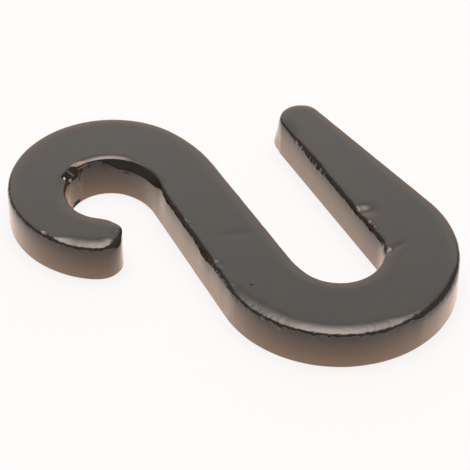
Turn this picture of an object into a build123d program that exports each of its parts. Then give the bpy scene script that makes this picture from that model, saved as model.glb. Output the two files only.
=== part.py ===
"""Chain hook: a flat S of thick plate with a small, nearly closed hook and a large, long-tongued one.

The hook lies flat with its underside on z = 0 and its box centred on the origin. The shank runs
along X, the small hook is at -X and turns to -Y, the large hook is at +X and turns to +Y.
"""

import os
from math import asin, atan2, degrees, sqrt
from typing import NamedTuple

from build123d import *

# The whole hook, in millimetres
overall_length = 48.4
overall_width = 44.1
plate_thickness = 5.0
top_edge_round = 0.75
bottom_edge_bevel = 0.3

# Large hook: the metal round its bowl, and the tongue that tapers to its tip
large_bowl_radius = 5.0
large_arm_width = 9.0
large_crown_width = 8.6
large_hook_length = 39.3
tongue_tip_radius = 2.8

# Small hook: the metal round its eye, and the blunt tip that half closes it
small_eye_radius = 4.8
small_arm_width = 6.4
small_root_width = 7.9
small_crown_width = 8.5
small_tip_angle = -32
small_tip_width_share = 0.97
small_toe_radius = 6.3
small_lip_radius = 7.1

# Shank: the easing curves at its ends, each with the degrees that it turns from the straight edge
bowl_runout_radius = 11.1
bowl_runout_turn = 14
neck_radius = 19.4
neck_turn = 21
throat_radius = 7.0
throat_turn = 37


class Disc(NamedTuple):
    """A round that the outline follows: metal where its radius is positive, a gap where negative."""

    centre: Vector
    radius: float


def heading(angle):
    """Return the unit vector at an angle from +X."""
    return Vector(1, 0).rotate(Axis.Z, angle)


def facing(first, second):
    """Return the angle that the outline faces on its way from one disc to the next.

    The lean of the straight run is rounded, so that discs that touch meet exactly.
    """
    way = second.centre - first.centre
    lean = asin(round((second.radius - first.radius) / way.length, 9))
    return degrees(atan2(way.Y, way.X) - lean) - 90


def easing(disc, angle, radius):
    """Return a disc of another radius that touches this one where the outline faces the angle."""
    return Disc(disc.centre + heading(angle) * (disc.radius - radius), radius)


def bridging(first, second, radius, side_angle):
    """Return a disc that touches two others, its centre to one side of the way between them."""
    way = second.centre - first.centre
    first_gap = radius - first.radius
    second_gap = radius - second.radius
    along = (way.length**2 + first_gap**2 - second_gap**2) / (2 * way.length)
    across = sqrt(first_gap**2 - along**2)
    forward = way.normalized()
    return Disc(first.centre + forward * along + forward.rotate(Axis.Z, side_angle) * across, radius)


def reach(start, direction, disc):
    """Return the distance from a point inside a disc to the disc's rim, in one direction."""
    offset = disc.centre - start
    along = offset.dot(direction)
    return along + sqrt(disc.radius**2 - offset.length**2 + along**2)


def follow(previous, disc, following):
    """Draw the arc round one disc, and the straight run to the next where the two stand apart."""
    arrival = facing(previous, disc)
    departure = facing(disc, following)
    if disc.radius > 0:
        CenterArc(disc.centre, disc.radius, arrival, (departure - arrival) % 360)
    else:
        CenterArc(disc.centre, -disc.radius, arrival + 180, -((arrival - departure) % 360))
    start = disc.centre + heading(departure) * disc.radius
    end = following.centre + heading(departure) * following.radius
    if round((end - start).length, 6) > 0:
        Line(start, end)


# Large hook: the bend fills the +X +Y corner of the box, and the bowl is set in it by its crown
box_corner = Vector(overall_length, overall_width) / 2
large_bend_radius = large_bowl_radius + large_arm_width
large_bend = Disc(box_corner - Vector(large_bend_radius, large_bend_radius), large_bend_radius)
large_bowl_x = box_corner.X - large_crown_width - large_bowl_radius
large_bowl = Disc(Vector(large_bowl_x, large_bend.centre.Y), -large_bowl_radius)

# Tongue: its inner edge runs straight back from the bowl, along the shank
tongue_tip_x = box_corner.X - large_hook_length + tongue_tip_radius
tongue_tip_y = large_bowl.centre.Y + large_bowl_radius + tongue_tip_radius
tongue_tip = Disc(Vector(tongue_tip_x, tongue_tip_y), tongue_tip_radius)

# Small hook: the bend fills the -X -Y corner of the box, and the eye is set in it off centre
small_bend_radius = small_eye_radius + (small_arm_width + small_root_width) / 2
small_bend = Disc(Vector(small_bend_radius, small_bend_radius) - box_corner, small_bend_radius)
small_eye_inset = Vector(small_crown_width + small_eye_radius, small_arm_width + small_eye_radius)
small_eye = Disc(small_eye_inset - box_corner, -small_eye_radius)

# Small tip: a round end within the width that the arm has there, with the toe outside and the lip inside
tip_heading = heading(small_tip_angle)
tip_arm_width = reach(small_eye.centre, tip_heading, small_bend) - small_eye_radius
small_tip_centre = small_eye.centre + tip_heading * (small_eye_radius + tip_arm_width / 2)
small_tip = Disc(small_tip_centre, small_tip_width_share * tip_arm_width / 2)
small_toe = bridging(small_bend, small_tip, small_toe_radius, -90)
small_lip = bridging(small_tip, small_eye, small_lip_radius, 90)

# Shank: its two straight edges are eased into the bowl, the small bend and the eye
bowl_side_facing = facing(large_bowl, small_bend)
bowl_runout = easing(large_bowl, bowl_side_facing + bowl_runout_turn, -bowl_runout_radius)
neck = easing(small_bend, bowl_side_facing + neck_turn, neck_radius)
eye_side_facing = facing(small_eye, large_bend)
throat = easing(small_eye, eye_side_facing + throat_turn, -throat_radius)

# The outline runs counter-clockwise, from the large bend along the tongue and back to the eye
outline_discs = [
    large_bend,
    tongue_tip,
    large_bowl,
    bowl_runout,
    neck,
    small_bend,
    small_toe,
    small_tip,
    small_lip,
    small_eye,
    throat,
]
discs_before = outline_discs[-1:] + outline_discs[:-1]
discs_after = outline_discs[1:] + outline_discs[:1]

with BuildPart() as hook:
    with BuildSketch() as outline:
        with BuildLine() as edge:
            for previous, disc, following in zip(discs_before, outline_discs, discs_after):
                follow(previous, disc, following)
        make_face()
    extrude(amount=plate_thickness)
    fillet(hook.edges().group_by(Axis.Z)[-1], radius=top_edge_round)
    chamfer(hook.edges().group_by(Axis.Z)[0], length=bottom_edge_bevel)
hook.part.label = "hook"

os.makedirs("parts", exist_ok=True)
export_step(hook.part, "parts/hook.step")
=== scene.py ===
"""Chain hook in glossy black enamel, on a pale floor under soft studio light.

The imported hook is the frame. One piece, the enamelled plate, stands for it and adds what the solid
leaves plain: the wide roll of the upper edge, the ragged line of the coating, dents and a chip.
Sizes are in millimetres in the hook's own frame, and meshes are in metres.
"""

import logging
import math
from dataclasses import astuple, dataclass, replace
from enum import Enum
from typing import Any

import bpy
import numpy as np
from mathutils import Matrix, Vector, geometry, kdtree, noise


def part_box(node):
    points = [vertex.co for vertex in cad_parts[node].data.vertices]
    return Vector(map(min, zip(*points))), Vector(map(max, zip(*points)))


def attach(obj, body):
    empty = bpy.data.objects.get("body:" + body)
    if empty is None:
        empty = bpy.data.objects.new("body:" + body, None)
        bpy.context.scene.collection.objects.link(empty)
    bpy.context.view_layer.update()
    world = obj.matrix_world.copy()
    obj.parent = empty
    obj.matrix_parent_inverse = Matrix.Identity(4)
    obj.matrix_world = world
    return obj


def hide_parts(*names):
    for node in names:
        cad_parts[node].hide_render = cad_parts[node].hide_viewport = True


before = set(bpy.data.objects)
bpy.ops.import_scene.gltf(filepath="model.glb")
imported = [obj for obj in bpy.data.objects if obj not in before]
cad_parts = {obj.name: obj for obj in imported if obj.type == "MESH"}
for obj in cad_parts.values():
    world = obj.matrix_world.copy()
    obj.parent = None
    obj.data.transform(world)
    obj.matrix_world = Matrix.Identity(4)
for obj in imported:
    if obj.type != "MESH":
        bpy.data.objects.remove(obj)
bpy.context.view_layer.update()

MM = 0.001
FULL_TURN = 2 * math.pi
LEVEL_TO_UP = math.pi / 2
TRIANGLES_INSIDE = 1
WELD_DISTANCE = 1e-7

log = logging.getLogger("chain_hook")


def linear(code: str) -> tuple[float, float, float, float]:
    """Turn an sRGB hex colour into linear light.

    Args:
        code: the colour as six hex digits after a hash sign.

    Returns:
        The linear red, green and blue, and an alpha of one.
    """
    shares = (int(code[place : place + 2], 16) / 255 for place in (1, 3, 5))
    red, green, blue = (
        share / 12.92 if share <= 0.04045 else ((share + 0.055) / 1.055) ** 2.4 for share in shares
    )
    return red, green, blue, 1.0


def add_node(tree: bpy.types.NodeTree, kind: str, inputs: dict | None = None, **settings: Any) -> Any:
    """Add a node with its settings, its values and its links.

    Args:
        tree: the node tree that takes the node.
        kind: the node's type name.
        inputs: for each input socket, by name or number, a value or the output socket that feeds it.
        settings: the node's own properties.

    Returns:
        The new node.
    """
    node = tree.nodes.new(kind)
    for name, value in settings.items():
        setattr(node, name, value)
    for place, value in (inputs or {}).items():
        if isinstance(value, bpy.types.NodeSocket):
            tree.links.new(value, node.inputs[place])
        else:
            node.inputs[place].default_value = value
    return node


def headings(angles: np.ndarray | float) -> np.ndarray:
    """Return the unit vectors at angles from +X, in radians."""
    return np.stack((np.cos(angles), np.sin(angles)), axis=-1)


def grain(points: np.ndarray, size: float, seed: float) -> np.ndarray:
    """Read smooth noise at points.

    Args:
        points: places in millimetres, one per row.
        size: the distance over which the noise changes.
        seed: a shift that makes one noise differ from another.

    Returns:
        One value from -1 to 1 for each point.
    """
    shift = Vector((seed, 2 * seed, 3 * seed))
    return np.array([noise.noise(Vector(point) / size + shift) for point in points])


class Part(Enum):
    """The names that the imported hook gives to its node, its body and its finish."""

    NODE = "hook"
    BODY = "root"
    SLOT = "black_enamel"


@dataclass(frozen=True)
class Disc:
    """A round that the outline follows: metal where its radius is positive, a gap where negative."""

    centre: np.ndarray
    radius: float

    def facing_to(self, following: "Disc") -> float:
        """Return the angle, in radians, that the outline faces on its way to the next disc."""
        way = following.centre - self.centre
        lean = math.asin(round((following.radius - self.radius) / math.hypot(*way), 9))
        return math.atan2(way[1], way[0]) - lean - LEVEL_TO_UP

    def easing(self, angle: float, radius: float) -> "Disc":
        """Return a disc of another radius that touches this one where the outline faces the angle."""
        return Disc(self.centre + headings(angle) * (self.radius - radius), radius)

    def bridging(self, following: "Disc", radius: float, side: int) -> "Disc":
        """Return a disc that touches this one and another.

        Args:
            following: the other disc.
            radius: the new disc's radius.
            side: 1 where its centre is to the left of the way between the two, -1 to the right.

        Returns:
            The disc between them.
        """
        way = following.centre - self.centre
        length = math.hypot(*way)
        first_gap = radius - self.radius
        second_gap = radius - following.radius
        along = (length**2 + first_gap**2 - second_gap**2) / (2 * length)
        across = side * math.sqrt(first_gap**2 - along**2)
        forward = way / length
        leftward = np.array((-forward[1], forward[0]))
        return Disc(self.centre + forward * along + leftward * across, radius)

    def reach(self, start: np.ndarray, direction: np.ndarray) -> float:
        """Return the distance from a point inside to the rim, in one direction."""
        offset = self.centre - start
        along = offset @ direction
        return along + math.sqrt(self.radius**2 - offset @ offset + along**2)


@dataclass(frozen=True)
class HookOutline:
    """The plan of the hook: arcs round discs and the straight runs between them."""

    length: float
    width: float
    large_bowl_radius: float = 5.0
    large_arm_width: float = 9.0
    large_crown_width: float = 8.6
    large_hook_length: float = 39.3
    tongue_tip_radius: float = 2.8
    small_eye_radius: float = 4.8
    small_arm_width: float = 6.4
    small_root_width: float = 7.9
    small_crown_width: float = 8.5
    small_tip_angle: float = math.radians(-32)
    small_tip_width_share: float = 0.97
    small_toe_radius: float = 6.3
    small_lip_radius: float = 7.1
    bowl_runout_radius: float = 11.1
    bowl_runout_turn: float = math.radians(14)
    neck_radius: float = 19.4
    neck_turn: float = math.radians(21)
    throat_radius: float = 7.0
    throat_turn: float = math.radians(37)

    def discs(self) -> list[Disc]:
        """Return the discs counter-clockwise, from the large bend along the tongue and back to the eye."""
        corner = np.array((self.length, self.width)) / 2
        bend_radius = self.large_bowl_radius + self.large_arm_width
        large_bend = Disc(corner - bend_radius, bend_radius)
        bowl_x = corner[0] - self.large_crown_width - self.large_bowl_radius
        large_bowl = Disc(np.array((bowl_x, large_bend.centre[1])), -self.large_bowl_radius)
        tip_x = corner[0] - self.large_hook_length + self.tongue_tip_radius
        tip_y = large_bend.centre[1] + self.large_bowl_radius + self.tongue_tip_radius
        tongue_tip = Disc(np.array((tip_x, tip_y)), self.tongue_tip_radius)

        bend_radius = self.small_eye_radius + (self.small_arm_width + self.small_root_width) / 2
        small_bend = Disc(bend_radius - corner, bend_radius)
        eye_inset = np.array((self.small_crown_width, self.small_arm_width)) + self.small_eye_radius
        small_eye = Disc(eye_inset - corner, -self.small_eye_radius)
        tip_heading = headings(self.small_tip_angle)
        arm_width = small_bend.reach(small_eye.centre, tip_heading) - self.small_eye_radius
        tip_centre = small_eye.centre + tip_heading * (self.small_eye_radius + arm_width / 2)
        small_tip = Disc(tip_centre, self.small_tip_width_share * arm_width / 2)
        small_toe = small_bend.bridging(small_tip, self.small_toe_radius, -1)
        small_lip = small_tip.bridging(small_eye, self.small_lip_radius, 1)

        bowl_side = large_bowl.facing_to(small_bend)
        bowl_runout = large_bowl.easing(bowl_side + self.bowl_runout_turn, -self.bowl_runout_radius)
        neck = small_bend.easing(bowl_side + self.neck_turn, self.neck_radius)
        eye_side = small_eye.facing_to(large_bend)
        throat = small_eye.easing(eye_side + self.throat_turn, -self.throat_radius)
        return [
            large_bend,
            tongue_tip,
            large_bowl,
            bowl_runout,
            neck,
            small_bend,
            small_toe,
            small_tip,
            small_lip,
            small_eye,
            throat,
        ]

    def trace(self, spacing: float) -> tuple[np.ndarray, np.ndarray]:
        """Walk once round the outline.

        Args:
            spacing: the most that one station stands from the next.

        Returns:
            The stations' places and the unit vectors that the outline faces there, one per row.
        """
        discs = self.discs()
        places, facings = [], []
        for previous, disc, following in zip(discs[-1:] + discs[:-1], discs, discs[1:] + discs[:1]):
            arrival = previous.facing_to(disc)
            departure = disc.facing_to(following)
            if disc.radius > 0:
                sweep = (departure - arrival) % FULL_TURN
            else:
                sweep = -((arrival - departure) % FULL_TURN)
            steps = max(1, math.ceil(abs(sweep * disc.radius) / spacing))
            angles = arrival + sweep * np.arange(steps) / steps
            places.append(disc.centre + disc.radius * headings(angles))
            facings.append(headings(angles))

            start = disc.centre + disc.radius * headings(departure)
            run = following.centre + following.radius * headings(departure) - start
            steps = math.ceil(round(math.hypot(*run), 6) / spacing)
            if steps:
                places.append(start + run * (np.arange(steps) / steps)[:, None])
                facings.append(np.repeat(headings(departure)[None], steps, axis=0))
        return np.concatenate(places), np.concatenate(facings)


@dataclass(frozen=True)
class EdgeShape:
    """How the wall meets the upper face: it leans in, may end in a facet, and rolls over in two arcs.

    The foot is how far the wall's lower end stands out. The facet and the two arcs, the corner and
    the crown, follow each other upward, and ragged is how far the facet and the corner may wander.
    """

    lean: float = 0.1
    foot: float = 0.0
    facet_height: float = 0.05
    facet_tilt: float = math.radians(8)
    corner_radius: float = 0.5
    crown_radius: float = 4.2
    crown_tilt: float = math.radians(16)
    ragged: float = 0.06


@dataclass(frozen=True)
class EdgeStretch:
    """A stretch of the outline, followed counter-clockwise, whose edge differs from the rest."""

    start: tuple[float, float]
    end: tuple[float, float]
    ease_in: float
    ease_out: float
    shape: EdgeShape

    def weights(self, places: np.ndarray, along: np.ndarray, lap: float) -> np.ndarray:
        """Return how far each station takes this shape, from 0 to 1.

        Args:
            places: the stations of the outline.
            along: how far each station is along the outline.
            lap: the length of the whole outline.

        Returns:
            One share for each station, eased over the stretch's two ends.
        """
        first = along[np.argmin(np.hypot(*(places - self.start).T))]
        last = along[np.argmin(np.hypot(*(places - self.end).T))]
        length = (last - first) % lap
        into = (along - first + lap / 2) % lap - lap / 2
        into = np.where(into < -self.ease_in, into + lap, into)
        rise = np.clip(into / self.ease_in + 0.5, 0, 1)
        fall = np.clip((length - into) / self.ease_out + 0.5, 0, 1)
        return rise * rise * (3 - 2 * rise) * fall * fall * (3 - 2 * fall)


@dataclass(frozen=True)
class Dent:
    """A shallow hollow in the upper face, longer one way than the other."""

    at: tuple[float, float]
    half_length: float
    half_width: float
    turn: float
    depth: float


@dataclass(frozen=True)
class Mark:
    """A stroke where the film has come off or something sticks to it, frayed at its rim; the palest are
    painted glints on bare metal.
    """

    start: tuple[float, float, float]
    end: tuple[float, float, float]
    half_width: float
    colour: str
    cover: float = 1.0
    roughness: float = 0.6


@dataclass(frozen=True)
class BlackEnamel:
    """Black stoving enamel on steel: a dipped, glossy film.

    To the eye it is a warm black that mirrors the pale floor on its walls and the room on its face,
    with a faint orange peel, duller patches, and brown metal where the film has come off.
    """

    wall_height: float
    body: str = "#35312c"
    body_patch: str = "#2a2a27"
    wall_brim: str = "#362c22"
    # The waist and the foot are painted paler than the film: a painted reflection of the pale floor
    wall_waist_with_painted_reflection: str = "#554225"
    wall_foot_with_painted_reflection: str = "#8e7a66"
    wall_stops: tuple[float, float, float] = (0.04, 0.42, 0.9)
    face_tilt: tuple[float, float] = (0.17, 0.23)
    patch_size: float = 5.0
    ior: float = 1.5
    lacquer_ior: float = 1.5
    lacquer_tint: str = "#fff8f0"
    wall_tint: str = "#ffecd8"
    lacquer_fade: tuple[float, float] = (0.4, 0.95)
    brim_lacquer: float = 0.1
    gloss_roughness: float = 0.14
    dull_roughness: float = 0.24
    wall_roughness: float = 0.12
    bloom: float = 0.52
    face_bloom: float = 0.06
    bloom_fade: tuple[float, float] = (0.72, 1.0)
    bloom_roughness: float = 0.4
    bloom_tint: str = "#ffc8a0"
    haze_size: float = 1.6
    haze_range: tuple[float, float] = (0.35, 0.7)
    peel_size: float = 0.5
    peel_height: float = 0.004
    fray_size: float = 0.35
    fray_reach: float = 0.5
    mark_rim: tuple[float, float] = (0.8, 1.15)

    def marks(self) -> list[Mark]:
        """Return the chips, the bits on the film, and the painted glints on the chip's bare metal."""
        return [
            Mark((-16.0, -12.75, 4.45), (-15.85, -13.5, 4.5), 0.5, "#39301f"),
            Mark((-15.75, -14.0, 4.75), (-15.6, -14.1, 4.6), 0.3, "#2b2d26"),
            Mark((-16.06, -13.75, 4.9), (-15.75, -13.14, 4.14), 0.1, "#8f9678", 0.9),
            # Painted glint: a white spot where the chip's bare metal catches the light
            Mark((-15.27, -14.46, 4.55), (-15.27, -14.46, 4.55), 0.18, "#ffffff"),
            # Painted glint: a pale spot on the chip's bare metal
            Mark((-15.25, -13.8, 3.98), (-15.3, -13.7, 3.95), 0.22, "#b8ab9c", 0.9),
            Mark((-15.42, -14.15, 4.4), (-15.35, -14.1, 4.3), 0.2, "#14110f"),
            # Bare copper-coloured metal along the chip's edge, painted pale as a painted highlight
            Mark((-16.58, -12.75, 4.97), (-16.65, -11.3, 4.95), 0.26, "#c4a48c", 0.8),
            Mark((-16.62, -12.39, 4.97), (-16.6, -12.3, 4.97), 0.12, "#6b5546", 0.8),
            Mark((-16.19, -12.2, 4.72), (-16.4, -11.2, 4.8), 0.09, "#2a1a10", 0.9),
            Mark((-16.4, -11.2, 4.74), (-16.3, -9.4, 4.76), 0.09, "#2a1a10", 0.9),
            Mark((-16.07, -12.3, 4.56), (-16.38, -10.95, 4.58), 0.15, "#a98468", 0.85),
            Mark((-16.11, -12.04, 3.98), (-16.2, -11.75, 4.2), 0.16, "#33231a", 0.9),
            Mark((-16.33, -10.95, 4.2), (-16.36, -10.7, 4.4), 0.16, "#33231a", 0.9),
            Mark((-15.25, -12.9, 0.35), (-14.85, -13.6, 0.2), 0.42, "#120c09"),
            Mark((-14.3, -7.15, 3.42), (-13.8, -6.74, 3.5), 0.18, "#322c28", 0.75),
            Mark((-15.87, -9.06, 3.37), (-15.87, -9.06, 3.37), 0.14, "#4a3a30", 0.7),
            Mark((11.26, -3.35, 5.0), (11.26, -3.35, 5.0), 0.22, "#1a1816"),
        ]

    def material(self) -> bpy.types.Material:
        """Return the enamel as a node material."""
        material = bpy.data.materials.new("black_stoving_enamel")
        material.use_nodes = True
        tree = material.node_tree
        tree.nodes.clear()
        coordinates = add_node(tree, "ShaderNodeTexCoord").outputs
        place = coordinates["Object"]
        patches, haze, fray, peel = (
            add_node(
                tree, "ShaderNodeTexNoise", {"Vector": place, "Scale": 1 / (size * MM), "Detail": detail}
            ).outputs[0]
            for size, detail in (
                (self.patch_size, 3.0),
                (self.haze_size, 4.0),
                (self.fray_size, 3.0),
                (self.peel_size, 2.0),
            )
        )
        body = add_node(
            tree,
            "ShaderNodeMix",
            {0: patches, 6: linear(self.body), 7: linear(self.body_patch)},
            data_type="RGBA",
        )

        # On the walls the film is dark and dull at the brim, and browner, paler and glossier at the foot,
        # where the paleness is a painted reflection of the pale floor
        facing = add_node(tree, "ShaderNodeSeparateXYZ", {0: coordinates["Normal"]})
        on_face = add_node(
            tree,
            "ShaderNodeMapRange",
            {"Value": facing.outputs["Z"], "From Min": self.face_tilt[0], "From Max": self.face_tilt[1]},
        ).outputs[0]
        height = add_node(tree, "ShaderNodeSeparateXYZ", {0: place}).outputs["Z"]
        rise = add_node(
            tree, "ShaderNodeMapRange", {"Value": height, "From Max": self.wall_height * MM}
        ).outputs[0]
        # Painted reflection: the walls' colour runs from the dark film at the brim to a pale brown at the
        # foot
        wall_film_and_painted_reflection = add_node(tree, "ShaderNodeValToRGB", {0: rise})
        foot, waist, brim = self.wall_stops
        stops = wall_film_and_painted_reflection.color_ramp.elements
        stops[0].position, stops[0].color = foot, linear(self.wall_foot_with_painted_reflection)
        stops[1].position, stops[1].color = brim, linear(self.wall_brim)
        stops.new(waist).color = linear(self.wall_waist_with_painted_reflection)
        lacquer_on_wall, bloom_on_wall = (
            add_node(
                tree,
                "ShaderNodeMapRange",
                {"Value": rise, "From Min": fade[0], "From Max": fade[1], "To Min": low, "To Max": high},
                interpolation_type="SMOOTHSTEP",
            ).outputs[0]
            for fade, low, high in (
                (self.lacquer_fade, 1.0, self.brim_lacquer),
                (self.bloom_fade, self.bloom, self.face_bloom),
            )
        )
        roughness = add_node(
            tree,
            "ShaderNodeMapRange",
            {
                "Value": haze,
                "From Min": self.haze_range[0],
                "From Max": self.haze_range[1],
                "To Min": self.gloss_roughness,
                "To Max": self.dull_roughness,
            },
        )
        colour_out, tint = (
            add_node(
                tree, "ShaderNodeMix", {0: on_face, 6: wall_value, 7: face_value}, data_type="RGBA"
            ).outputs[2]
            for wall_value, face_value in (
                (wall_film_and_painted_reflection.outputs[0], body.outputs[2]),
                (linear(self.wall_tint), linear(self.lacquer_tint)),
            )
        )
        coat_out, bloom_out, rough_out = (
            add_node(tree, "ShaderNodeMix", {0: on_face, 2: wall_value, 3: face_value}).outputs[0]
            for wall_value, face_value in (
                (lacquer_on_wall, 1.0),
                (bloom_on_wall, self.face_bloom),
                (self.wall_roughness, roughness.outputs[0]),
            )
        )

        # Each mark takes the gloss off and shows its own colour
        for mark in self.marks():
            first, last = Vector(mark.start), Vector(mark.end)
            half_length = (last - first).length / 2 + mark.half_width
            local = add_node(
                tree,
                "ShaderNodeMapping",
                {
                    "Vector": place,
                    "Location": (first + last) / 2 * MM,
                    "Rotation": (last - first).to_track_quat("X", "Z").to_euler(),
                    "Scale": Vector((half_length, mark.half_width, mark.half_width)) * MM,
                },
                vector_type="TEXTURE",
            )
            away = add_node(tree, "ShaderNodeVectorMath", {0: local.outputs[0]}, operation="LENGTH")
            frayed = add_node(
                tree,
                "ShaderNodeMath",
                {0: fray, 1: self.fray_reach, 2: away.outputs["Value"]},
                operation="MULTIPLY_ADD",
            )
            rim_start, rim_end = (edge + self.fray_reach / 2 for edge in self.mark_rim)
            cover = add_node(
                tree,
                "ShaderNodeMapRange",
                {
                    "Value": frayed.outputs[0],
                    "From Min": rim_start,
                    "From Max": rim_end,
                    "To Min": mark.cover,
                    "To Max": 0.0,
                },
            ).outputs[0]
            colour_out = add_node(
                tree, "ShaderNodeMix", {0: cover, 6: colour_out, 7: linear(mark.colour)}, data_type="RGBA"
            ).outputs[2]
            rough_out, coat_out, bloom_out = (
                add_node(tree, "ShaderNodeMix", {0: cover, 2: film_value, 3: mark_value}).outputs[0]
                for film_value, mark_value in (
                    (rough_out, mark.roughness),
                    (coat_out, 0.0),
                    (bloom_out, 0.0),
                )
            )

        relief = add_node(
            tree,
            "ShaderNodeBump",
            {"Height": peel, "Strength": 1.0, "Distance": self.peel_height * MM},
        )
        film = add_node(
            tree,
            "ShaderNodeBsdfPrincipled",
            {
                "Base Color": colour_out,
                "Roughness": rough_out,
                "IOR": self.ior,
                "Coat Weight": coat_out,
                "Coat IOR": self.lacquer_ior,
                "Coat Roughness": rough_out,
                "Coat Tint": tint,
                "Coat Normal": relief.outputs[0],
                "Sheen Weight": bloom_out,
                "Sheen Roughness": self.bloom_roughness,
                "Sheen Tint": linear(self.bloom_tint),
                "Normal": relief.outputs[0],
            },
        )
        add_node(tree, "ShaderNodeOutputMaterial", {"Surface": film.outputs[0]})
        return material


@dataclass(frozen=True)
class EnamelledPlate:
    """The hook itself: one plate whose upper edge is rolled over and whose lower edge is bevelled."""

    thickness: float
    bevel: float = 0.1
    edge: EdgeShape = EdgeShape()
    flare_power: float = 24.0
    crease: float = 0.05
    wall_row_power: float = 0.6
    corner_change_size: float = 0.6
    corner_change_seed: float = 5.7
    tooth_share: float = 0.35
    tooth_size: float = 0.5
    tooth_seed: float = 9.1
    station_spacing: float = 0.12
    wall_rows: int = 12
    facet_rows: int = 4
    corner_rows: int = 9
    crown_rows: int = 9
    top_grid: float = 0.4
    dent_grid: float = 0.14
    underside_grid: float = 1.2
    dent_reach: float = 2.2
    dent_start: float = 0.6
    dent_full: float = 0.85
    ragged_share: float = 0.15
    ragged_size: float = 0.32
    ragged_seed: float = 3.1
    wave_depth: float = 0.02
    wave_size: float = 2.4
    wave_stretch: float = 10.0
    wave_seed: float = 7.3
    crease_angle: float = math.radians(40)

    def stretches(self) -> list[EdgeStretch]:
        """Return the stretches of edge whose shape differs, later ones over earlier ones."""
        tilt = math.radians
        broad = EdgeShape(lean=0.2, crown_tilt=tilt(21), ragged=0.3)
        tight = EdgeShape(
            lean=0.2, facet_tilt=tilt(27), crown_radius=0.6, crown_tilt=tilt(28), ragged=0.2
        )
        worn = replace(tight, lean=0.08, ragged=0.06)
        nick = replace(
            worn, facet_height=0.36, facet_tilt=tilt(38), corner_radius=0.25, crown_radius=0.3
        )
        large_end = EdgeShape(
            lean=0.0, corner_radius=1.0, crown_radius=1.4, crown_tilt=tilt(22), ragged=0.1
        )
        large_front = [
            EdgeStretch((13.0, -5.3), (19.6, -2.6), 5.0, 4.0, replace(broad, crown_radius=4.4)),
            EdgeStretch((19.6, -2.6), (23.9, 10.2), 4.0, 3.0, replace(broad, crown_radius=4.0)),
            EdgeStretch((23.3, 8.2), (24.1, 11.4), 3.5, 1.0, replace(broad, crown_radius=2.2)),
            EdgeStretch((23.9, 10.4), (19.5, 18.3), 2.2, 3.0, large_end),
        ]
        small_edge = replace(tight, lean=0.08, facet_height=0.1, corner_radius=0.4)
        bead = replace(broad, lean=0.08, crown_radius=1.8, ragged=0.1)
        small_band = replace(broad, lean=0.05, ragged=0.25)
        tip = EdgeShape(lean=-0.12, corner_radius=1.2, crown_radius=1.6, crown_tilt=tilt(22))
        tip_back = replace(worn, lean=-0.05, corner_radius=0.36)
        small_front = [
            EdgeStretch((-16.0, -21.5), (-2.3, -17.0), 3.0, 1.0, small_edge),
            EdgeStretch((-7.0, -20.85), (-6.4, -20.5), 0.8, 0.5, bead),
            EdgeStretch((-4.7, -19.4), (-2.6, -12.9), 2.8, 1.0, small_band),
            EdgeStretch((-6.15, -20.37), (-5.65, -20.05), 0.5, 0.5, nick),
            EdgeStretch((-1.73, -14.4), (-2.7, -12.8), 1.8, 1.6, tip),
            EdgeStretch((-3.2, -12.46), (-5.0, -12.0), 1.6, 2.0, tip_back),
        ]
        shank_edge = replace(tight, facet_height=0.2, corner_radius=0.66)
        shank_patch = replace(tight, lean=0.1, facet_height=0.6, corner_radius=0.5)
        shank_side = [
            EdgeStretch((-9.4, -5.6), (10.8, -5.5), 2.0, 3.0, shank_edge),
            EdgeStretch((3.0, -5.7), (5.2, -5.7), 1.8, 1.8, shank_patch),
        ]
        lip = replace(worn, lean=0.72, corner_radius=0.15, crown_radius=1.7, crown_tilt=tilt(26))
        ledge = replace(lip, lean=0.25, facet_height=0.9, facet_tilt=tilt(30), corner_radius=0.2)
        ledge_end = replace(ledge, corner_radius=0.3, crown_radius=0.85)
        chip = replace(nick, lean=0.35, facet_height=1.1, facet_tilt=tilt(36), corner_radius=0.12)
        eye = [
            EdgeStretch((-15.5, -13.0), (-8.0, -5.5), 3.0, 4.0, lip),
            EdgeStretch((-15.2, -8.7), (-9.4, -5.6), 2.0, 3.6, ledge),
            EdgeStretch((-13.7, -6.9), (-9.4, -5.6), 1.4, 3.0, ledge_end),
            EdgeStretch((-14.3, -14.3), (-15.5, -12.3), 0.5, 0.5, chip),
        ]
        tongue_edge = replace(tight, lean=0.08, facet_height=0.2, corner_radius=0.6)
        tongue_notch = replace(worn, facet_height=0.32, corner_radius=0.6)
        tongue_foot = EdgeShape(lean=-0.05, foot=1.25)
        tongue = [
            EdgeStretch((-9.6, 13.05), (13.2, 12.3), 3.0, 2.0, tongue_edge),
            EdgeStretch((-6.0, 13.05), (-2.2, 13.05), 2.0, 2.0, replace(tongue_edge, facet_height=0.42)),
            EdgeStretch((8.4, 13.05), (9.4, 13.05), 0.8, 0.8, tongue_notch),
            EdgeStretch((9.9, 13.05), (10.6, 13.05), 0.5, 0.6, nick),
            EdgeStretch((-13.5, 18.4), (-14.2, 13.8), 2.0, 3.2, tongue_foot),
        ]
        return large_front + small_front + shank_side + eye + tongue

    def dents(self) -> list[Dent]:
        """Return the dents of the upper face."""
        return [
            Dent((6.2, 13.9), 1.0, 0.8, math.radians(62), 0.26),
            Dent((8.3, 13.62), 0.26, 0.24, 0.0, 0.08),
            Dent((9.3, 13.62), 0.22, 0.2, 0.0, 0.06),
            Dent((9.85, 13.62), 0.24, 0.2, 0.0, 0.06),
            Dent((13.5, 12.95), 0.5, 0.4, math.radians(62), 0.16),
            Dent((13.2, 14.1), 1.0, 0.36, math.radians(104), 0.075),
            Dent((6.4, -5.2), 0.7, 0.4, math.radians(20), 0.14),
            Dent((-1.6, -5.0), 0.22, 0.18, 0.0, 0.06),
            Dent((-0.4, -4.95), 0.22, 0.18, 0.0, 0.06),
            Dent((3.2, -0.9), 1.6, 0.6, math.radians(70), 0.03),
        ]

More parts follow.
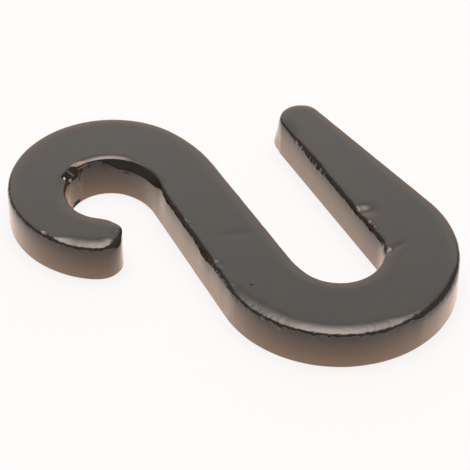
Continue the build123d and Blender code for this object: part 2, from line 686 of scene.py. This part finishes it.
    def section(self, places: np.ndarray) -> tuple[np.ndarray, np.ndarray, np.ndarray, np.ndarray]:
        """Work out the edge's section at each station, from the underside to the flat of the top.

        Args:
            places: the stations of the outline.

        Returns:
            For each row and station the distance in from the outline, the height, and the angle
            above level that the section faces, and for each station how ragged the edge is.
        """
        count = len(places)
        steps = np.hypot(*(np.roll(places, -1, axis=0) - places).T)
        along = np.concatenate(((0.0,), np.cumsum(steps)))
        shapes = np.tile(astuple(self.edge), (count, 1))
        for stretch in self.stretches():
            weight = stretch.weights(places, along[:-1], along[-1])
            shapes += (np.array(astuple(stretch.shape)) - shapes) * weight[:, None]
        lean, foot, facet_height, facet_tilt, corner, crown, crown_tilt, ragged = shapes.T
        shoulder = LEVEL_TO_UP - crown_tilt
        ground = np.column_stack((places, np.zeros(count)))
        wander = grain(ground, self.corner_change_size, self.corner_change_seed)
        change = np.minimum(corner, ragged) * wander
        corner = corner + change
        teeth = self.tooth_share * grain(ground, self.tooth_size, self.tooth_seed)
        facet_height = facet_height + np.minimum(facet_height, ragged) * teeth
        flare = change * (np.cos(facet_tilt) - np.cos(shoulder))

        rolled = corner * (np.sin(shoulder) - np.sin(facet_tilt)) + crown * (1 - np.sin(shoulder))
        wall = self.thickness - self.bevel - facet_height - rolled
        level = np.zeros(count)
        insets, heights, angles = [self.bevel - foot], [level], [level - LEVEL_TO_UP / 2]
        for share in (np.arange(self.wall_rows + 1) / self.wall_rows) ** self.wall_row_power:
            insets.append(lean * share - foot * (1 - share) - flare * share**self.flare_power)
            heights.append(self.bevel + wall * share)
            angles.append(np.arctan((lean + foot) / wall))
        for share in np.linspace(self.crease, 1, self.facet_rows):
            insets.append(lean - flare + facet_height * np.tan(facet_tilt) * share)
            heights.append(self.bevel + wall + facet_height * share)
            angles.append(facet_tilt)
        for radius, first, last, arc_rows in (
            (corner, facet_tilt, shoulder, self.corner_rows),
            (crown, shoulder, level + LEVEL_TO_UP, self.crown_rows),
        ):
            foot_inset, foot_height = insets[-1], heights[-1]
            for share in np.arange(1, arc_rows + 1) / arc_rows:
                angle = first + (last - first) * share
                insets.append(foot_inset + radius * (np.cos(first) - np.cos(angle)))
                heights.append(foot_height + radius * (np.sin(angle) - np.sin(first)))
                angles.append(angle)
        return np.array(insets), np.array(heights), np.array(angles), ragged

    def fill(
        self, ring: np.ndarray, grid: float, dents: list[Dent] | None = None
    ) -> tuple[np.ndarray, np.ndarray]:
        """Fill a closed ring with triangles.

        Args:
            ring: the ring's points in plan, counter-clockwise.
            grid: the spacing of the points that are put inside it.
            dents: the dents that need closer points.

        Returns:
            The points added inside the ring, and the triangles as rows of three numbers, which
            count the ring's points first.
        """
        spots = [self.lattice(ring, grid, ring.min(axis=0), ring.max(axis=0))]
        for dent in dents or []:
            reach = self.dent_reach * max(dent.half_length, dent.half_width)
            low, high = np.array(dent.at) - reach, np.array(dent.at) + reach
            fine = self.lattice(ring, self.dent_grid, low, high)
            spots = [s[np.hypot(*(s - dent.at).T) > reach] for s in spots]
            spots.append(fine[np.hypot(*(fine - dent.at).T) <= reach])
        inner = np.concatenate(spots)
        points = [Vector(point) for point in np.concatenate((ring, inner))]
        rim = list(range(len(ring)))
        found = geometry.delaunay_2d_cdt(points, [], [rim], TRIANGLES_INSIDE, WELD_DISTANCE)
        origins = [source[0] for source in found[3]]
        triangles = np.array([[origins[corner] for corner in face] for face in found[2]])
        return inner, triangles

    def lattice(self, ring: np.ndarray, grid: float, low: np.ndarray, high: np.ndarray) -> np.ndarray:
        """Return points inside a ring on a lattice of triangles, clear of the ring itself.

        Args:
            ring: the ring's points in plan.
            grid: the distance between neighbours.
            low: the lowest corner of the area to cover.
            high: the highest corner.

        Returns:
            The points, one per row.
        """
        rise = grid * math.sqrt(3) / 2
        rows = []
        for count, y in enumerate(np.arange(low[1], high[1], rise)):
            x = np.arange(low[0] + (count % 2) * grid / 2, high[0], grid)
            rows.append(np.stack((x, np.full(len(x), y)), axis=-1))
        spots = np.concatenate(rows)
        start, end = ring, np.roll(ring, -1, axis=0)
        inside = np.zeros(len(spots), dtype=bool)
        for (x0, y0), (x1, y1) in zip(start, end):
            if y0 != y1:
                crossed = (spots[:, 1] < y0) != (spots[:, 1] < y1)
                inside ^= crossed & (spots[:, 0] < x0 + (spots[:, 1] - y0) * (x1 - x0) / (y1 - y0))
        tree = kdtree.KDTree(len(ring))
        for number, point in enumerate(ring):
            tree.insert((point[0], point[1], 0), number)
        tree.balance()
        spots = spots[inside]
        clear = [tree.find((x, y, 0))[2] > grid / 2 for x, y in spots]
        return spots[np.array(clear, dtype=bool)]

    def build(self, outline: HookOutline) -> bpy.types.Object:
        """Make the plate's mesh and its object.

        Args:
            outline: the plan that the plate is cut to.

        Returns:
            The plate's object, at its place in the frame.
        """
        places, facings = outline.trace(self.station_spacing)
        insets, heights, angles, raggedness = self.section(places)
        rows, count = insets.shape
        plan = places - insets[:, :, None] * facings
        points = np.concatenate((plan, heights[:, :, None]), axis=2)

        level = np.cos(angles)[:, :, None] * facings
        outward = np.concatenate((level, np.sin(angles)[:, :, None]), axis=2).reshape(-1, 3)
        rolled = np.where(angles > 0, np.sin(2 * angles) ** 2, 0.0).ravel()
        on_wall = np.where(angles >= 0, np.cos(angles), 0.0).ravel()
        flat_points = points.reshape(-1, 3)
        fraying = grain(flat_points, self.ragged_size, self.ragged_seed)
        ragged = self.ragged_share * np.tile(raggedness, rows) * rolled * fraying
        # Heights count for little here, so that the waves run up the wall
        upright = flat_points / (1, 1, self.wave_stretch)
        waves = self.wave_depth * on_wall * grain(upright, self.wave_size, self.wave_seed)
        flat_points = flat_points + (ragged + waves)[:, None] * outward

        top_ring = flat_points[-count:, :2]
        top_inner, top_triangles = self.fill(top_ring, self.top_grid, self.dents())
        low_ring = flat_points[:count, :2]
        low_inner, low_triangles = self.fill(low_ring, self.underside_grid)
        top_points = np.column_stack((top_inner, np.full(len(top_inner), self.thickness)))
        low_points = np.column_stack((low_inner, np.zeros(len(low_inner))))
        vertices = np.concatenate((flat_points, top_points, low_points))
        for dent in self.dents():
            away = vertices[:, :2] - dent.at
            long_way = away @ headings(dent.turn) / dent.half_length
            short_way = away @ headings(dent.turn + LEVEL_TO_UP) / dent.half_width
            share = vertices[:, 2] / self.thickness
            upper = np.clip((share - self.dent_start) / (self.dent_full - self.dent_start), 0, 1)
            vertices[:, 2] -= dent.depth * upper * np.exp(-(long_way**2) - short_way**2)

        here = np.arange(count)
        after = np.roll(here, -1)
        faces = []
        for row in range(rows - 1):
            low, high = row * count, (row + 1) * count
            faces += np.column_stack((low + here, low + after, high + after, high + here)).tolist()
        ring_start = (rows - 1) * count
        inner_start = rows * count
        top = np.where(
            top_triangles < count, top_triangles + ring_start, top_triangles - count + inner_start
        )
        inner_start += len(top_inner)
        low = np.where(low_triangles < count, low_triangles, low_triangles - count + inner_start)
        faces += top.tolist() + low[:, ::-1].tolist()

        mesh = bpy.data.meshes.new("enamelled_plate")
        mesh.from_pydata((vertices * MM).tolist(), [], faces)
        mesh.shade_smooth()
        mesh.set_sharp_from_angle(angle=self.crease_angle)
        mesh.update()
        plate = bpy.data.objects.new("enamelled_plate", mesh)
        bpy.context.scene.collection.objects.link(plate)
        return plate

    def dress(self, plate: bpy.types.Object, enamel: BlackEnamel) -> None:
        """Give the plate its finish and its place in the frame.

        Args:
            plate: the plate's object.
            enamel: the finish.
        """
        plate.data.materials.append(enamel.material())
        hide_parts(Part.NODE.value)
        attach(plate, Part.BODY.value)


@dataclass(frozen=True)
class Studio:
    """The pale floor, the soft light and the camera."""

    view_bearing: float = math.radians(-27.075)
    view_elevation: float = math.radians(42.079)
    view_distance: float = 212.1
    view_target: tuple[float, float, float] = (-1.749, 1.26, 0.0)
    lens: float = 138.0
    sensor: float = 36.0
    floor_half_width: float = 2500.0
    floor_drop: float = 0.02
    floor_colour: str = "#ffffff"
    floor_glow_colour: str = "#ffffff"
    floor_glow: float = 0.8
    glow_half_width: float = 0.7
    glow_half_depth: float = 0.55
    glow_forward: float = -0.05
    glow_core: float = 0.1
    glow_radiance: float = 5.2
    glow_colour: str = "#fff1ea"
    dark_side: str = "#6e6c6a"
    dark_fade: tuple[float, float] = (0.1, 0.5)
    side_fade: tuple[float, float] = (0.42, 0.66)
    wall_low: str = "#f0d2c8"
    wall_middle: str = "#f4f5f6"
    wall_high: str = "#c6cacc"
    wall_stops: tuple[float, float, float] = (0.3, 0.6, 0.8)

    def camera(self) -> bpy.types.Object:
        """Set up the camera at the photograph's viewing angle and return it."""
        level = headings(self.view_bearing) * math.cos(self.view_elevation)
        toward = Vector((level[0], level[1], math.sin(self.view_elevation)))
        data = bpy.data.cameras.new("camera")
        data.lens = self.lens
        data.sensor_width = self.sensor
        data.clip_start = MM
        camera = bpy.data.objects.new("camera", data)
        camera.location = (Vector(self.view_target) + toward * self.view_distance) * MM
        camera.rotation_euler = toward.to_track_quat("Z", "Y").to_euler()
        bpy.context.scene.collection.objects.link(camera)
        bpy.context.scene.camera = camera
        return camera

    def floor(self) -> bpy.types.Object:
        """Lay the pale floor and return it."""
        half = self.floor_half_width * MM
        level = -self.floor_drop * MM
        corners = [(-half, -half, level), (half, -half, level), (half, half, level), (-half, half, level)]
        mesh = bpy.data.meshes.new("floor")
        mesh.from_pydata(corners, [], [(0, 1, 2, 3)])
        # Matt white paper: it shows an even white with the hook's soft shadow
        material = bpy.data.materials.new("matt_paper")
        material.use_nodes = True
        tree = material.node_tree
        tree.nodes.clear()
        path = add_node(tree, "ShaderNodeLightPath").outputs
        seen = add_node(
            tree, "ShaderNodeMath", {0: path["Is Camera Ray"], 1: path["Is Glossy Ray"]}, operation="ADD"
        )
        shown = add_node(
            tree,
            "ShaderNodeMath",
            {0: seen.outputs[0], 1: path["Is Transmission Ray"]},
            operation="ADD",
            use_clamp=True,
        )
        share = add_node(
            tree, "ShaderNodeMath", {0: shown.outputs[0], 1: self.floor_glow}, operation="MULTIPLY"
        )
        paper = add_node(tree, "ShaderNodeBsdfDiffuse", {"Color": linear(self.floor_colour)})
        glow = add_node(tree, "ShaderNodeEmission", {"Color": linear(self.floor_glow_colour)})
        surface = add_node(
            tree,
            "ShaderNodeMixShader",
            {0: share.outputs[0], 1: paper.outputs[0], 2: glow.outputs[0]},
        )
        add_node(tree, "ShaderNodeOutputMaterial", {"Surface": surface.outputs[0]})
        mesh.materials.append(material)
        floor = bpy.data.objects.new("floor", mesh)
        bpy.context.scene.collection.objects.link(floor)
        return floor

    def light(self) -> bpy.types.World:
        """Light the room: a wide soft glow overhead, pale walls behind, dark on the camera's side.

        Returns:
            The world that carries the light.
        """
        world = bpy.data.worlds.new("room")
        world.use_nodes = True
        tree = world.node_tree
        tree.nodes.clear()
        direction = add_node(tree, "ShaderNodeTexCoord").outputs["Generated"]
        # Turned so that +Y leads away from the camera and +X to its right
        turned = add_node(
            tree,
            "ShaderNodeVectorRotate",
            {"Vector": direction, "Angle": -self.view_bearing - LEVEL_TO_UP},
            rotation_type="Z_AXIS",
        ).outputs[0]
        parts = add_node(tree, "ShaderNodeSeparateXYZ", {0: turned})
        sideways = add_node(tree, "ShaderNodeMath", {0: parts.outputs["X"]}, operation="ABSOLUTE")
        behind, between_sides = (
            add_node(
                tree,
                "ShaderNodeMapRange",
                {"Value": way, "From Min": fade[0], "From Max": fade[1], "To Min": low, "To Max": high},
                interpolation_type="SMOOTHSTEP",
            ).outputs[0]
            for way, fade, low, high in (
                (parts.outputs["Y"], self.dark_fade, 0.0, 1.0),
                (sideways.outputs[0], self.side_fade, 1.0, 0.0),
            )
        )
        share = add_node(tree, "ShaderNodeMath", {0: behind, 1: between_sides}, operation="MULTIPLY")
        wall = add_node(tree, "ShaderNodeValToRGB", {0: parts.outputs["Z"]})
        low, middle, high = self.wall_stops
        stops = wall.color_ramp.elements
        stops[0].position, stops[0].color = low, linear(self.wall_low)
        stops[1].position, stops[1].color = high, linear(self.wall_high)
        stops.new(middle).color = linear(self.wall_middle)
        room = add_node(
            tree,
            "ShaderNodeMix",
            {0: share.outputs[0], 6: linear(self.dark_side), 7: wall.outputs[0]},
            data_type="RGBA",
        )
        half_width, half_depth = self.glow_half_width, self.glow_half_depth
        across = add_node(
            tree,
            "ShaderNodeVectorMath",
            {
                0: turned,
                1: (1 / half_width, 1 / half_depth, 0.0),
                2: (0.0, self.glow_forward / half_depth, 0.0),
            },
            operation="MULTIPLY_ADD",
        )
        reach = add_node(tree, "ShaderNodeVectorMath", {0: across.outputs[0]}, operation="LENGTH")
        glow = add_node(
            tree,
            "ShaderNodeMapRange",
            {
                "Value": reach.outputs["Value"],
                "From Min": self.glow_core,
                "From Max": 1.0,
                "To Min": self.glow_radiance,
                "To Max": 0.0,
            },
            interpolation_type="SMOOTHSTEP",
        )
        glow_light = add_node(
            tree,
            "ShaderNodeBackground",
            {"Color": linear(self.glow_colour), "Strength": glow.outputs[0]},
        )
        room_light = add_node(tree, "ShaderNodeBackground", {"Color": room.outputs[2]})
        light = add_node(tree, "ShaderNodeAddShader", {0: glow_light.outputs[0], 1: room_light.outputs[0]})
        add_node(tree, "ShaderNodeOutputWorld", {"Surface": light.outputs[0]})
        bpy.context.scene.world = world
        return world


def main() -> None:
    """Build the hook and the studio, and log the plate's face count and what is in place."""
    logging.basicConfig(level=logging.INFO, format="%(name)s: %(message)s")
    low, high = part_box(Part.NODE.value)
    length, width, thickness = (high - low) / MM
    outline = HookOutline(length, width)
    plate = EnamelledPlate(thickness)
    piece = plate.build(outline)
    plate.dress(piece, BlackEnamel(thickness))
    log.info("%s: %d faces", piece.name, len(piece.data.polygons))

    studio = Studio()
    for made in (studio.camera(), studio.floor(), studio.light()):
        log.info("%s is in place", made.name)
    bpy.context.scene.view_settings.view_transform = "Standard"


if __name__ == "__main__":
    main()
